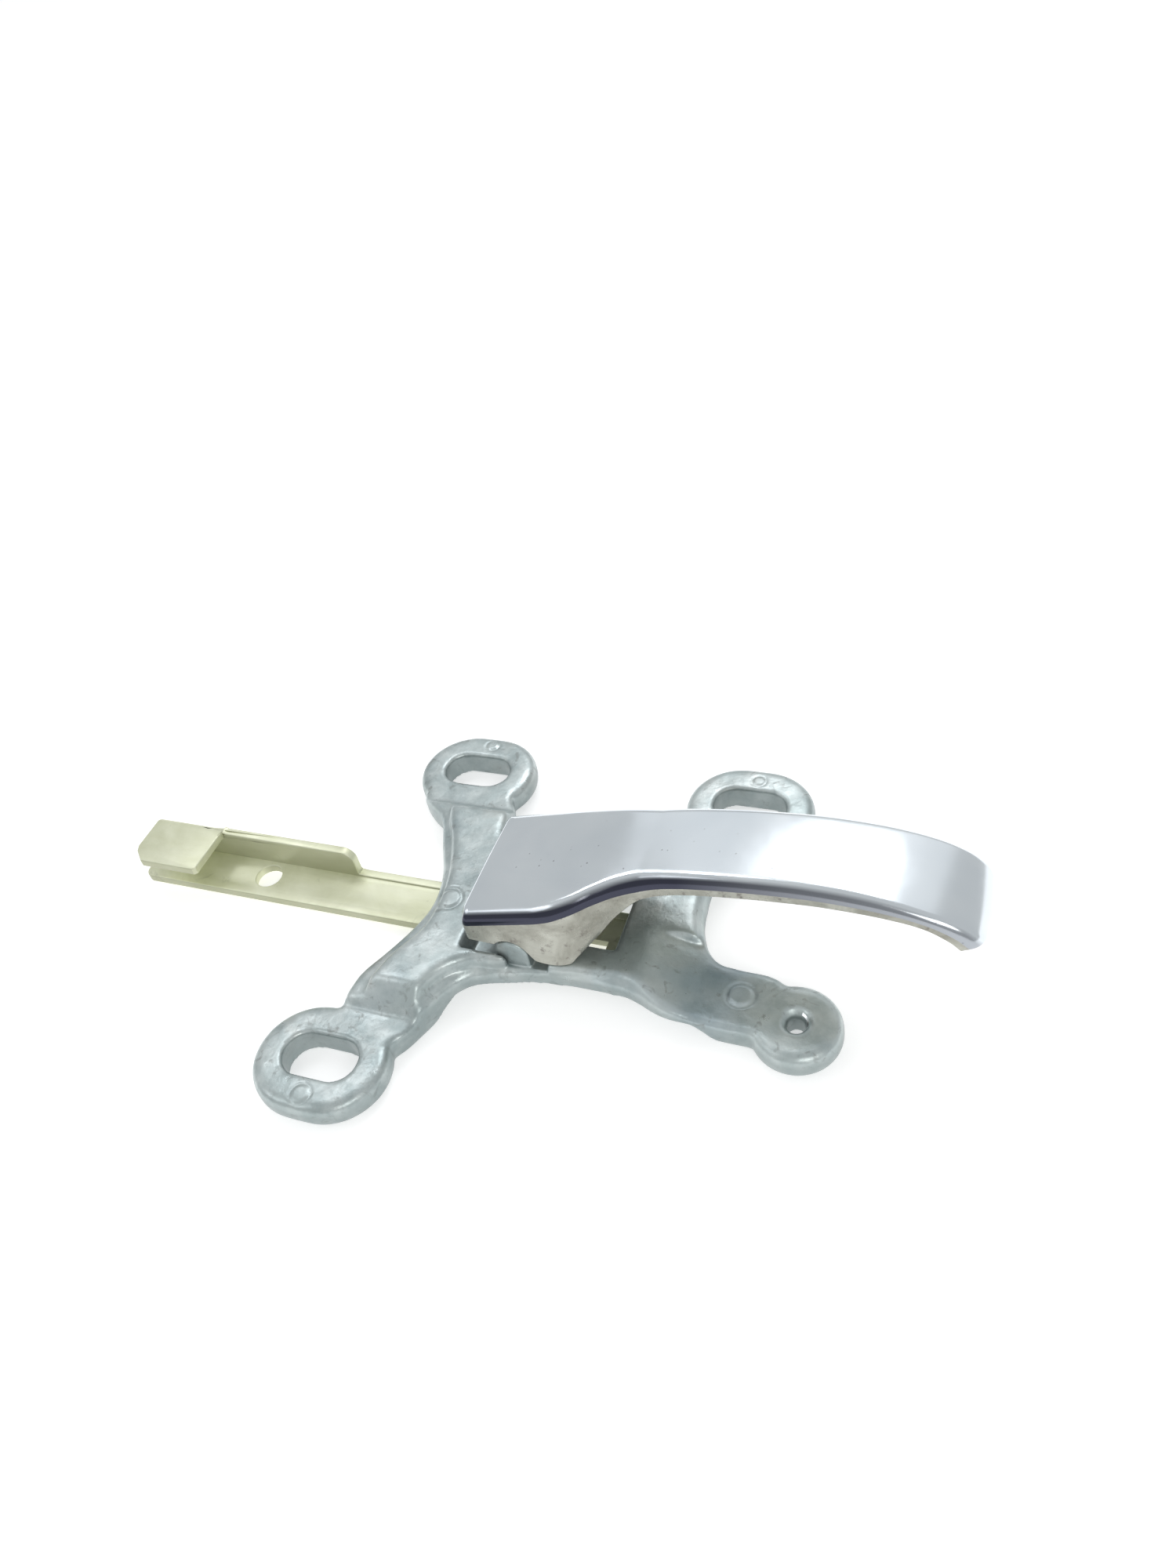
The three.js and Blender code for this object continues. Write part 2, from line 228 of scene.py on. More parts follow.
def cast_zinc():
    """Grey die cast zinc, mottled, with bluish areas and small stains, and painted shade on its
    steep sides and undersides.
    """
    p = Paint("cast_zinc").set(Metallic=0.72)
    broad = p.ramp(p.noise(55, 5, 0.6, 0.6), (0.3, (0.30, 0.36, 0.365)), (0.7, (0.54, 0.61, 0.605)))
    pale = p.ramp(p.noise(170, 6, 0.65), (0.42, 0.0), (0.72, 1.0))
    base = p.mix(p.times(pale, 0.7), broad, (0.76, 0.81, 0.80))
    blue = p.ramp(p.noise(42, 2, 0.5, 0.4), (0.55, 0.0), (0.75, 1.0))
    base = p.mix(p.times(blue, 0.55), base, (0.26, 0.36, 0.43))
    stains = p.ramp(p.noise(420, 3, 0.6, 1.2), (0.59, 0.0), (0.72, 1.0))
    base = p.mix(p.times(stains, 0.55), base, (0.2, 0.21, 0.2))
    warm = p.ramp(p.noise(95, 2, 0.5, 0.8), (0.6, 0.0), (0.78, 1.0))
    base = p.mix(p.times(warm, 0.22), base, (0.50, 0.44, 0.38))
    # Painted shade: faces that turn from up to sideways or down are darkened.
    painted_wall_shade = p.facing("Z", 0.6, 0.05)
    base = p.mix(p.times(painted_wall_shade, 0.5), base, (0.19, 0.23, 0.23))
    p.colour(base)
    p.roughness(p.ramp(p.noise(240, 5, 0.6), (0.25, 0.24), (0.75, 0.48)))
    p.bump(p.noise(900, 4, 0.6), 0.16, 0.0004)
    p.bump(p.noise(190, 3, 0.5), 0.16, 0.0006)
    return p.mat


def polished():
    """Bright plating with a few pits and a haze, and a painted dark reflection along the lever's
    rounded front edge.
    """
    p = Paint("polished_lever").set(Metallic=1.0)
    cloud = p.ramp(
        p.noise(38, 3, 0.5, 0.5), (0.3, (0.72, 0.775, 0.82)), (0.7, (0.86, 0.905, 0.935)),
    )
    pits = p.ramp(p.cells(700), (0.03, 1.0), (0.14, 0.0))
    where = p.ramp(p.noise(130, 3, 0.6), (0.54, 0.0), (0.64, 1.0))
    base = p.mix(p.times(p.times(pits, where), 0.8), cloud, (0.2, 0.18, 0.18))
    haze = p.ramp(p.noise(60, 4, 0.6, 0.8, (0.4, 1, 1)), (0.52, 0.0), (0.78, 1.0))
    base = p.mix(p.times(haze, 0.3), base, (0.58, 0.64, 0.72))
    # Painted reflection: faces turned to the front go dark, less so towards the tip.
    painted_reflection_band = p.times(p.facing("Y", -0.42, -0.72), p.place("X", LUG_A.x + 0.13, LUG_A.x + 0.05))
    p.colour(p.mix(p.times(painted_reflection_band, 0.97), base, (0.035, 0.036, 0.06)))
    p.roughness(p.ramp(p.noise(70, 5, 0.65), (0.3, 0.13), (0.75, 0.25)))
    p.bump(p.noise(120, 2, 0.4), 0.03, 0.0006)
    p.bump(p.noise(600, 3, 0.6, 0.0, (0.15, 1, 1)), 0.02, 0.0002)
    return p.mat


def rough_cast():
    """The lever's sides and underside, left as cast and tarnished."""
    p = Paint("lever_as_cast").set(Metallic=0.7)
    base = p.ramp(
        p.noise(150, 5, 0.65, 0.7), (0.3, (0.27, 0.265, 0.225)), (0.72, (0.54, 0.545, 0.485)),
    )
    specks = p.ramp(p.noise(620, 4, 0.7), (0.57, 0.0), (0.70, 1.0))
    p.colour(p.mix(p.times(specks, 0.75), base, (0.15, 0.13, 0.12)))
    p.roughness(p.ramp(p.noise(260, 4, 0.6), (0.3, 0.22), (0.7, 0.42)))
    p.bump(p.noise(500, 5, 0.7), 0.35, 0.0005)
    return p.mat


def yellow_zinc():
    """Pale yellow-green plating on sheet steel, with stains, and painted shade on faces turned to
    the front, most of all inside the folded channel.
    """
    p = Paint("yellow_zinc").set(Metallic=0.55)
    base = p.ramp(p.noise(90, 4, 0.6, 0.5), (0.3, (0.62, 0.64, 0.42)), (0.7, (0.84, 0.86, 0.65)))
    brushed = p.ramp(p.noise(260, 3, 0.6, 0.0, (0.25, 1, 1)), (0.3, 0.0), (0.7, 1.0))
    base = p.mix(p.times(brushed, 0.35), base, (0.92, 0.93, 0.79))
    stains = p.ramp(p.noise(160, 4, 0.65, 1.0), (0.63, 0.0), (0.76, 1.0))
    base = p.mix(p.times(stains, 0.45), base, (0.33, 0.35, 0.22))
    # Painted shade: faces turned to the front, such as the inside of the folded channel, are
    # darkened.
    channel = p.facing("Y", -0.4, -0.9)
    base = p.mix(p.times(channel, 0.6), base, (0.24, 0.25, 0.15))
    p.colour(base)
    p.roughness(p.ramp(p.noise(150, 4, 0.6), (0.3, 0.32), (0.7, 0.5)))
    p.bump(p.noise(700, 3, 0.6, 0.0, (0.3, 1, 1)), 0.12, 0.0003)
    p.bump(p.noise(140, 2, 0.5), 0.15, 0.0005)
    return p.mat


def steel(name, dark, light, rough):
    p = Paint(name).set(Metallic=1.0)
    p.colour(p.ramp(p.noise(600, 4, 0.6, 0.0, (1, 0.2, 1)), (0.3, dark), (0.7, light)))
    p.roughness(p.ramp(p.noise(300, 3, 0.5), (0.3, rough), (0.7, rough + 0.14)))
    p.bump(p.noise(1500, 2, 0.5, 0.0, (1, 0.15, 1)), 0.08, 0.0002)
    return p.mat


CAST = cast_zinc()
POLISHED = polished()
AS_CAST = rough_cast()
PLATED = yellow_zinc()
PIN = steel("ground_steel", (0.45, 0.45, 0.46), (0.72, 0.72, 0.73), 0.22)
WIRE = steel("spring_steel", (0.2, 0.2, 0.21), (0.42, 0.42, 0.44), 0.28)
THREAD = steel("thread_steel", (0.62, 0.66, 0.68), (0.88, 0.9, 0.9), 0.16)


# ---- Mesh helpers ---------------------------------------------------------

def piece(name, mesh, materials, body, replaces=None):
    """Shows a mesh as a piece that rides on a CAD body."""
    obj = bpy.data.objects.new(name, mesh)
    bpy.context.scene.collection.objects.link(obj)
    mesh.materials.clear()
    for material in materials:
        mesh.materials.append(material)
    for polygon in mesh.polygons:
        polygon.use_smooth = True
    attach(obj, body)
    if replaces:
        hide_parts(replaces)
    return obj


def mesh_from(name, points, faces):
    mesh = bpy.data.meshes.new(name)
    mesh.from_pydata([world(p) for p in points], [], faces)
    mesh.validate()
    mesh.update()
    return mesh


def evaluated_copy(obj):
    """The object's mesh with its modifiers applied, as a new mesh."""
    graph = bpy.context.evaluated_depsgraph_get()
    return bpy.data.meshes.new_from_object(obj.evaluated_get(graph), depsgraph=graph)


def loft(rings, closed_ends=True):
    """Points and faces of a skin over closed rings that all have as many points."""
    n = len(rings[0])
    points = [p for ring in rings for p in ring]
    faces = []
    for i in range(len(rings) - 1):
        for j in range(n):
            k = (j + 1) % n
            faces.append((i * n + j, i * n + k, (i + 1) * n + k, (i + 1) * n + j))
    if closed_ends:
        faces.append(tuple(range(n - 1, -1, -1)))
        faces.append(tuple((len(rings) - 1) * n + j for j in range(n)))
    return points, faces


def curve_through(points, count):
    """A Catmull-Rom line through points, as count points at even spacing."""
    p = np.array(points, float)
    p = np.vstack([2 * p[0] - p[1], p, 2 * p[-1] - p[-2]])
    out = []
    for i in range(1, len(p) - 2):
        for t in np.linspace(0, 1, 24, endpoint=False):
            a, b, c, d = p[i - 1], p[i], p[i + 1], p[i + 2]
            out.append(0.5 * (
                2 * b + (c - a) * t + (2 * a - 5 * b + 4 * c - d) * t * t
                + (3 * b - a - 3 * c + d) * t ** 3
            ))
    out.append(p[-2])
    out = np.array(out)
    run = np.concatenate([[0], np.cumsum(np.linalg.norm(np.diff(out, axis=0), axis=1))])
    at = np.linspace(0, run[-1], count)
    return np.stack([np.interp(at, run, out[:, k]) for k in range(out.shape[1])], 1)


# ---- Bracket --------------------------------------------------------------

VOXEL = 0.28
SWELL = 0.22  # gives back what the smoothing takes off
COUNTERSINK_R = 2.4
SLOT_R, SLOT_STRAIGHT = 3.9, 5.2
POCKET = {"x": 27.1, "y": -30.9, "half_length": 12.2, "half_width": 11.2}

UNEVENNESS = 0.016

# Round marks of the mould: x, y and radius.
EJECTOR_MARKS = [(59.4, -38.6, 2.1), (9.9, -33.2, 2.1)]
LUG_DOTS = [(0.5, 6.6, 1.3), (0.3, -69.8, 1.6), (52.0, 5.9, 1.2)]


def smooth_step(x):
    x = np.clip(x, 0, 1)
    return x * x * (3 - 2 * x)


def cast_details(mesh):
    """Adds the marks of the mould and a slight unevenness to the bracket's upper faces."""
    count = len(mesh.vertices)
    co = np.zeros(count * 3)
    mesh.vertices.foreach_get("co", co)
    co = co.reshape(-1, 3)
    normal = np.zeros(count * 3)
    mesh.vertices.foreach_get("normal", normal)
    normal = normal.reshape(-1, 3)
    x = (co[:, 0] - LUG_A.x) / MM
    y = (co[:, 1] - LUG_A.y) / MM
    up = np.clip(normal[:, 2], 0, 1) ** 2
    lift = np.zeros(count)
    for marks, groove, groove_width, dome, dome_edge in (
        (EJECTOR_MARKS, 0.3, 0.26, 0.1, 0.6),
        (LUG_DOTS, 0.14, 0.2, 0.12, 0.5),
    ):
        for mark_x, mark_y, r in marks:
            d = np.hypot(x - mark_x, y - mark_y)
            lift -= groove * np.exp(-(((d - r) / groove_width) ** 2))
            lift += dome * smooth_step((r - d) / dome_edge)
    wave = (
        np.sin(x * 0.61 + 1.3) * np.sin(y * 0.53 + 0.4)
        + 0.6 * np.sin(x * 1.37 - y * 0.9 + 2.1)
        + 0.5 * np.sin(y * 1.71 + x * 0.44 + 0.7)
    )
    lift += UNEVENNESS * wave
    co += normal * SWELL * MM
    co[:, 2] += lift * up * MM
    mesh.vertices.foreach_set("co", co.ravel())
    mesh.update()


def sharp_edges_near(x, y):
    """How far a point of the casting is, seen from above, from the nearest opening."""
    distance = np.hypot(x - TAPPED[0], y - TAPPED[1]) - COUNTERSINK_R
    for cx, cy in ((0, 0), (0, -ROW_Y), (ROW_X, 0)):
        along = np.maximum(np.abs(x - cx) - SLOT_STRAIGHT / 2, 0)
        distance = np.minimum(distance, np.hypot(along, y - cy) - SLOT_R)
    dx = np.maximum(np.abs(x - POCKET["x"]) - POCKET["half_length"], 0)
    dy = np.maximum(np.abs(y - POCKET["y"]) - POCKET["half_width"], 0)
    return np.minimum(distance, np.hypot(dx, dy))


def bracket_mesh():
    """The casting: the CAD solid with its edges rounded, most where nothing has to fit."""
    source = bpy.data.objects.new("bracket_source", frame["nodes"]["bracket"].data.copy())
    bpy.context.scene.collection.objects.link(source)
    remesh = source.modifiers.new("remesh", "REMESH")
    remesh.mode = "VOXEL"
    remesh.voxel_size = VOXEL * MM
    remesh.adaptivity = 0.0
    light = source.modifiers.new("light", "SMOOTH")
    light.factor = 0.5
    light.iterations = 6
    source.data = evaluated_copy(source)
    source.modifiers.clear()
    co = np.zeros(len(source.data.vertices) * 3)
    source.data.vertices.foreach_get("co", co)
    co = co.reshape(-1, 3)
    away = sharp_edges_near((co[:, 0] - LUG_A.x) / MM, (co[:, 1] - LUG_A.y) / MM)
    weights = smooth_step((away - 0.6) / 1.4)
    group = source.vertex_groups.new(name="soft")
    levels = np.round(weights * 10).astype(int)
    for level in range(1, 11):
        group.add([int(i) for i in np.nonzero(levels == level)[0]], level / 10, "REPLACE")
    soft = source.modifiers.new("soft", "SMOOTH")
    soft.factor = 0.5
    soft.iterations = 34
    soft.vertex_group = "soft"
    mesh = evaluated_copy(source)
    bpy.data.objects.remove(source)
    cast_details(mesh)
    return mesh


piece("bracket_casting", bracket_mesh(), [CAST], "bracket", "bracket")


def thread_mesh():
    """The helical ridge of the tapped hole."""
    pitch, crest_r, root_r = 0.7, 1.62, 2.0
    profile = ((root_r, -0.33), (crest_r, -0.07), (crest_r, 0.07), (root_r, 0.33))
    start_z = 0.25
    cx, cy = TAPPED
    per_turn, turns = 40, 5.2
    steps = int(per_turn * turns)
    rings = []
    for i in range(steps + 1):
        a = 2 * math.pi * i / per_turn
        z = start_z + pitch * i / per_turn
        ring = []
        for r, dz in profile:
            ring.append((cx + r * math.cos(a), cy + r * math.sin(a), z + dz))
        rings.append(ring)
    return mesh_from("thread", *loft(rings))


thread = piece("tapped_thread", thread_mesh(), [THREAD], "bracket")


# ---- Lever ----------------------------------------------------------------

# The crown of the lever's top, as x and z.
TOP_LINE = [
    (17.9, 16.4), (24.5, 18.3), (31.5, 20.3), (38.2, 21.9), (44.7, 23.0), (50.9, 24.0),
    (57.0, 24.85), (62.8, 25.4), (67.9, 25.68), (74.0, 25.55), (79.5, 24.95), (85.0, 23.7),
    (88.8, 22.3), (91.0, 20.8), (92.3, 19.2), (LEVER_RIGHT, 18.1),
]
EDGE_R = 2.5
WALL = 2.0
GRIP_START, GRIP_BLEND = 44, 8
GRIP_THINNER = 0.7  # how much less wall the grip has than the root
TIP_SOLID = 4  # length of the tip that isn't hollow
NOTCH_R = 3.05
CROWN = 0.18
ARC_STEPS, ACROSS_STEPS, SIDE_STEPS = 10, 10, 9
# A section's ring runs over the top and down the rear side before it reaches this step.
UNDERSIDE_START = 2 * (ARC_STEPS + 1) + (ACROSS_STEPS - 1) + (SIDE_STEPS - 1)
# The front edge seen from above: wide at the root, narrower along the grip.
FRONT_LINE_X = [0, 29, 31.5, 34.5, 38, 41.4, 44.7, 48, 52, 100]
GRIP_FRONT = LEVER_FRONT + 7.2
FRONT_LINE_Y = [
    LEVER_FRONT, LEVER_FRONT, LEVER_FRONT + 0.25, LEVER_FRONT + 1.4, LEVER_FRONT + 3.7,
    LEVER_FRONT + 5.6, LEVER_FRONT + 6.7, LEVER_FRONT + 7.1, GRIP_FRONT, GRIP_FRONT,
]
# The lower edge of the sides: deep at the web, shallow along the grip.
SKIRT_X = [16.9, 20.8, 26.4, 28.4, 32.3, 33.5, 34.6, 36.4, 38.2, 40, 41.8, 43.6, 44.6, 48.9,
           54.1, 60, 65.5, 71, 76, 81.5, 84.5, 87.5, 88.8, 89.6]
SKIRT_Z = [10.4, 10.2, 10.2, 7.7, 7.2, 7.25, 8.5, 10.5, 12.45, 14.7, 16.5, 18.0, 18.6, 19.95,
           20.95, 21.7, 22.2, 22.5, 22.4, 21.9, 21.2, 19.6, 18.5, 17.5]
TIP_START, TIP_THICK = 80, 3.0  # from here the sections lean, to end in a blunt tip
TIP_CORNER_R = 2.6


def spline_at(x, xs, ys):
    """Monotone-limited cubic through the points, at x."""
    xs, ys = np.array(xs, float), np.array(ys, float)
    slope = np.diff(ys) / np.diff(xs)
    tangent = np.zeros(len(xs))
    tangent[0], tangent[-1] = slope[0], slope[-1]
    for i in range(1, len(xs) - 1):
        a, b = slope[i - 1], slope[i]
        tangent[i] = 0 if a * b <= 0 else 2 * a * b / (a + b)
    i = int(np.clip(np.searchsorted(xs, x) - 1, 0, len(xs) - 2))
    h = xs[i + 1] - xs[i]
    t = float(np.clip((x - xs[i]) / h, 0, 1))
    return (
        (2 * t ** 3 - 3 * t * t + 1) * ys[i] + (t ** 3 - 2 * t * t + t) * h * tangent[i]
        + (3 * t * t - 2 * t ** 3) * ys[i + 1] + (t ** 3 - t * t) * h * tangent[i + 1]
    )


def lever_section(top, lower, notch, front, rear, wall, ceiling):
    """One cross-section: a closed ring round an upside-down channel.

    top and lower are (x, z) of the section's upper and lower edge, and each of
    the ring's points is y and how far it lies below the top."""
    span = math.hypot(top[0] - lower[0], top[1] - lower[1])
    foot = span * notch
    r = min(EDGE_R, foot * 0.55)
    soft = min(0.28, foot * 0.2)
    roof = min(ceiling, foot - 0.05)
    ring = []
    for k in range(ARC_STEPS + 1):
        a = math.pi / 2 * k / ARC_STEPS
        ring.append((front + r - r * math.cos(a), r - r * math.sin(a)))
    for k in range(1, ACROSS_STEPS):
        t = k / ACROSS_STEPS
        ring.append((front + r + (rear - front - 2 * r) * t, -CROWN * math.sin(math.pi * t)))
    for k in range(ARC_STEPS + 1):
        a = math.pi / 2 * (1 - k / ARC_STEPS)
        ring.append((rear - r + r * math.cos(a), r - r * math.sin(a)))
    side = [r + (foot - soft - r) * k / SIDE_STEPS for k in range(1, SIDE_STEPS)]
    ring += [(rear, d) for d in side]
    inside_rear, inside_front = rear - wall, front + wall
    ring += [(rear, foot - soft), (rear - soft, foot)]
    ring += [(inside_rear + soft, foot), (inside_rear, foot - soft)]
    ring += [(inside_rear, roof + 0.01), (inside_rear - 0.6, roof)]
    ring += [(inside_front + 0.6, roof), (inside_front, roof + 0.01)]
    ring += [(inside_front, foot - soft), (inside_front - soft, foot)]
    ring += [(front + soft, foot), (front, foot - soft)]
    ring += [(front, d) for d in reversed(side)]
    return [
        (top[0] + (lower[0] - top[0]) * d / span, y, top[1] + (lower[1] - top[1]) * d / span)
        for y, d in ring
    ]


def lever_rings():
    """The lever's sections from the root to the tip."""
    top = curve_through(TOP_LINE, 260)
    run = np.concatenate([[0], np.cumsum(np.linalg.norm(np.diff(top, axis=0), axis=1))])
    rings = []
    for (x, z), s in zip(top, run):
        tip = max(0.0, (x - TIP_START) / (LEVER_RIGHT - TIP_START))
        below = x - TIP_THICK * tip * tip
        lower = spline_at(below, SKIRT_X, SKIRT_Z)
        off = abs(x - PIVOT_X)
        notch = 1.0
        if off < NOTCH_R:
            arch = PIVOT_Z + math.sqrt(NOTCH_R ** 2 - off ** 2)
            notch = min(1.0, (z - arch) / (z - lower))
        left = run[-1] - s
        inset = 0.0
        if left < TIP_CORNER_R:
            inset = TIP_CORNER_R - math.sqrt(TIP_CORNER_R ** 2 - (TIP_CORNER_R - left) ** 2)
        front = spline_at(x, FRONT_LINE_X, FRONT_LINE_Y) + inset
        wall = WALL - GRIP_THINNER * float(smooth_step((x - GRIP_START) / GRIP_BLEND))
        solid_end = x < LEVER_LEFT + WALL or left < TIP_SOLID
        ceiling = math.inf if solid_end else WALL + 0.1
        rings.append(lever_section(
            (x, z), (below, lower), notch, front, LEVER_REAR - inset, wall, ceiling,
        ))
    return rings


def lever_mesh():
    """The skin over the sections, with a rounded face added at each end."""
    rings = lever_rings()
    centre = (LEVER_FRONT + LEVER_REAR) / 2
    start = []
    for inset, dx in ((0.7, -0.95), (0.25, -0.75), (0.0, -0.35)):
        start.append([
            (x + dx, y + (centre - y) * inset * 0.06, z - inset * 0.9 * (z > 14))
            for x, y, z in rings[0]
        ])
    tip_centre = (GRIP_FRONT + LEVER_REAR) / 2
    end = []
    for inset, dx, dz in ((0.06, -0.1, -0.35), (0.16, -0.4, -0.62)):
        end.append([
            (x + dx, y + (tip_centre - y) * inset, z + dz) for x, y, z in rings[-1]
        ])
    return mesh_from("lever", *loft(start + rings + end))


lever = piece("lever_shell", lever_mesh(), [POLISHED, AS_CAST], "lever", "lever")
ring_size = len(lever_rings()[0])
for polygon in lever.data.polygons:
    polygon.material_index = 1 if polygon.index % ring_size >= UNDERSIDE_START else 0


def box_mesh(name, low, high):
    points = [
        (x, y, z)
        for x in (low[0], high[0])
        for y in (low[1], high[1])
        for z in (low[2], high[2])
    ]
    faces = [
        (0, 1, 3, 2), (4, 6, 7, 5), (0, 4, 5, 1),
        (2, 3, 7, 6), (0, 2, 6, 4), (1, 5, 7, 3),
    ]
    return mesh_from(name, points, faces)


def bevel_edges(obj, width):
    bevel = obj.modifiers.new("bevel", "BEVEL")
    bevel.width = width * MM
    bevel.segments = 3
    bevel.limit_method = "ANGLE"


HUB = {"r": 3.2, "bore_r": 1.62, "front": -32.6, "rear": -24.5}
FOOT = {"half": 1.3, "front": -32.6, "rear": -28.6, "tip": 0.5}
PIN_R = 1.5


def tube_mesh(name, r_out, r_in, y0, y1, chamfer, sides=64):
    """A round sleeve along Y on the pivot; r_in 0 makes a solid bar."""
    inner = max(r_in, 0.02)
    profile = [
        (r_out - chamfer, y0),
        (r_out, y0 + chamfer),
        (r_out, y1 - chamfer),
        (r_out - chamfer, y1),
        (inner, y1),
        (inner, y0),
    ]
    rings = []
    for i in range(sides):
        a = 2 * math.pi * i / sides
        c, s = math.cos(a), math.sin(a)
        rings.append([(PIVOT_X + r * c, y, PIVOT_Z + r * s) for r, y in profile])
    points, faces = loft(rings + [rings[0]], closed_ends=False)
    mesh = mesh_from(name, points, faces)
    bm = bmesh.new()
    bm.from_mesh(mesh)
    bmesh.ops.remove_doubles(bm, verts=bm.verts, dist=1e-6)
    bmesh.ops.recalc_face_normals(bm, faces=bm.faces)
    bm.to_mesh(mesh)
    bm.free()
    return mesh


hub = piece(
    "lever_hub",
    tube_mesh("lever_hub", HUB["r"], HUB["bore_r"], HUB["front"], HUB["rear"], 0.3),
    [AS_CAST], "lever",
)
rib = piece(
    "lever_rib",
    box_mesh("lever_rib", (PIVOT_X - 2.4, HUB["front"] + 0.4, PIVOT_Z + 2.2),
             (PIVOT_X + 2.4, HUB["rear"] - 0.4, 16.4)),
    [AS_CAST], "lever",
)
bevel_edges(rib, 0.4)
foot = piece(
    "lever_foot",
    box_mesh("lever_foot", (PIVOT_X - FOOT["half"], FOOT["front"], FOOT["tip"]),
             (PIVOT_X + FOOT["half"], FOOT["rear"], PIVOT_Z - 2.2)),
    [AS_CAST], "lever",
)
bevel_edges(foot, 0.35)

pin_front, pin_rear = (pin_low.y - LUG_A.y) / MM, (pin_high.y - LUG_A.y) / MM
pin = piece(
    "pin_body",
    tube_mesh("pin_body", PIN_R, 0.0, pin_front, pin_rear, 0.35),
    [PIN], "bracket", "pivot_pin",
)


# ---- Return spring --------------------------------------------------------

spring_low, spring_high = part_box("return_spring")


SPRING_FLOOR = 5.6  # the floor of the bracket's pocket that the lower leg lies over


def spring_mesh():
    """Coils round the hub, with one leg on the bracket and one up into the lever."""
    wire, mean_r, turns = 0.4, 2.6, 3  # wire is its radius
    front = (spring_low.y - LUG_A.y) / MM + wire
    rear = (spring_high.y - LUG_A.y) / MM - wire
    rest_z = SPRING_FLOOR + wire + 0.3
    line = [(17, front, rest_z), (19.4, front, rest_z)]
    steps = turns * 12
    for i in range(1, steps - 1):
        t = i / steps
        a = -math.pi / 2 + 2 * math.pi * turns * t
        line.append((
            PIVOT_X + mean_r * math.cos(a),
            front + (rear - front) * t,
            PIVOT_Z + mean_r * math.sin(a),
        ))
    line += [(21, rear, 10.4), (20.2, rear, 13.8)]
    points = curve_through(line, 420)
    rings = []
    side = Vector((0, 1, 0))
    for i, p in enumerate(points):
        ahead = Vector(points[min(i + 1, len(points) - 1)] - points[max(i - 1, 0)]).normalized()
        side = (side - ahead * side.dot(ahead)).normalized()
        other = ahead.cross(side)
        ring = []
        for k in range(14):
            a = 2 * math.pi * k / 14
            q = Vector(p) + (side * math.cos(a) + other * math.sin(a)) * wire
            ring.append(tuple(q))
        rings.append(ring)
    return mesh_from("spring", *loft(rings))


piece("spring_coil", spring_mesh(), [WIRE], "bracket", "return_spring")


# ---- Pull bar -------------------------------------------------------------

BAR_WIDTH = 9.4
BAR_FRONT = BAR_REAR - BAR_WIDTH
BAR_END_R = 1.6
BEND_R = 1.5  # outer radius of the folds
FLANGE_RIGHT = -12.4
FLANGE_CORNER_R = 2.2
TAB_RIGHT = -39.2
TAB_FRONT_REACH = 10.7
TAB_INSET = 0.4  # how far the tab's end lies inside the bar's end
HOLE = (-29.3, -30.2, 2.4)  # x, y, radius
SLOT = (22.0, 26.3, -33.0, -28.2)  # left, right, front, rear
NOTCH = (28.0, 35.8, -31.4)  # left, right, rear


def arc_points(cx, cy, r, a0, a1, count):
    return [
        (cx + r * math.cos(math.radians(a0 + (a1 - a0) * i / count)),
         cy + r * math.sin(math.radians(a0 + (a1 - a0) * i / count)))
        for i in range(count + 1)
    ]


def flat_pattern():
    """The bar unfolded, as loops of (x, s) with s the run across the sheet from its front edge."""
    mid = BEND_R - BAR_THICK / 2
    quarter = math.pi / 2 * mid
    across_strip = BAR_REAR - BEND_R - BAR_FRONT
    up_flange = BAR_TOP - BAR_BOTTOM - 2 * BEND_R
    s_flange_top = across_strip + quarter + up_flange
    full = s_flange_top + quarter + TAB_FRONT_REACH - BEND_R
    flange_edge = s_flange_top + BEND_R - BAR_THICK / 2 + 0.4
    left, tab_left = BAR_LEFT, BAR_LEFT + TAB_INSET
    r = BAR_END_R
    outline = arc_points(BAR_RIGHT - r, r, r, -90, 0, 10)
    outline += arc_points(BAR_RIGHT - r, BAR_WIDTH - r, r, 0, 90, 10)
    outline += [
        (FLANGE_RIGHT + 1.2, BAR_WIDTH),
        (FLANGE_RIGHT + 0.2, BAR_WIDTH + 0.15),
        (FLANGE_RIGHT, BAR_WIDTH + 0.5),
    ]
    corner = FLANGE_CORNER_R
    outline += arc_points(FLANGE_RIGHT - corner, flange_edge - corner, corner, 0, 90, 10)
    outline += [
        (TAB_RIGHT + 0.9, flange_edge),
        (TAB_RIGHT + 0.2, flange_edge + 0.3),
        (TAB_RIGHT, flange_edge + 1.0),
        (TAB_RIGHT, full - 0.5),
        (TAB_RIGHT - 0.5, full),
        (tab_left + 2.6, full),
        (tab_left + 0.5, full - 2.0),
        (tab_left, full - 3.2),
        (tab_left, s_flange_top),
        (left, across_strip),
    ]
    outline += arc_points(left + r, r, r, 180, 270, 10)
    notch_depth = NOTCH[2] - BAR_FRONT
    outline += [(NOTCH[0], 0), (NOTCH[0], notch_depth), (NOTCH[1], notch_depth), (NOTCH[1], 0)]
    hole = arc_points(HOLE[0], HOLE[1] - BAR_FRONT, HOLE[2], 0, 350, 35)
    slot = [
        (SLOT[0], SLOT[2] - BAR_FRONT),
        (SLOT[1], SLOT[2] - BAR_FRONT),
        (SLOT[1], SLOT[3] - BAR_FRONT),
        (SLOT[0], SLOT[3] - BAR_FRONT),
    ]
    return [outline, hole, slot], across_strip, quarter, up_flange


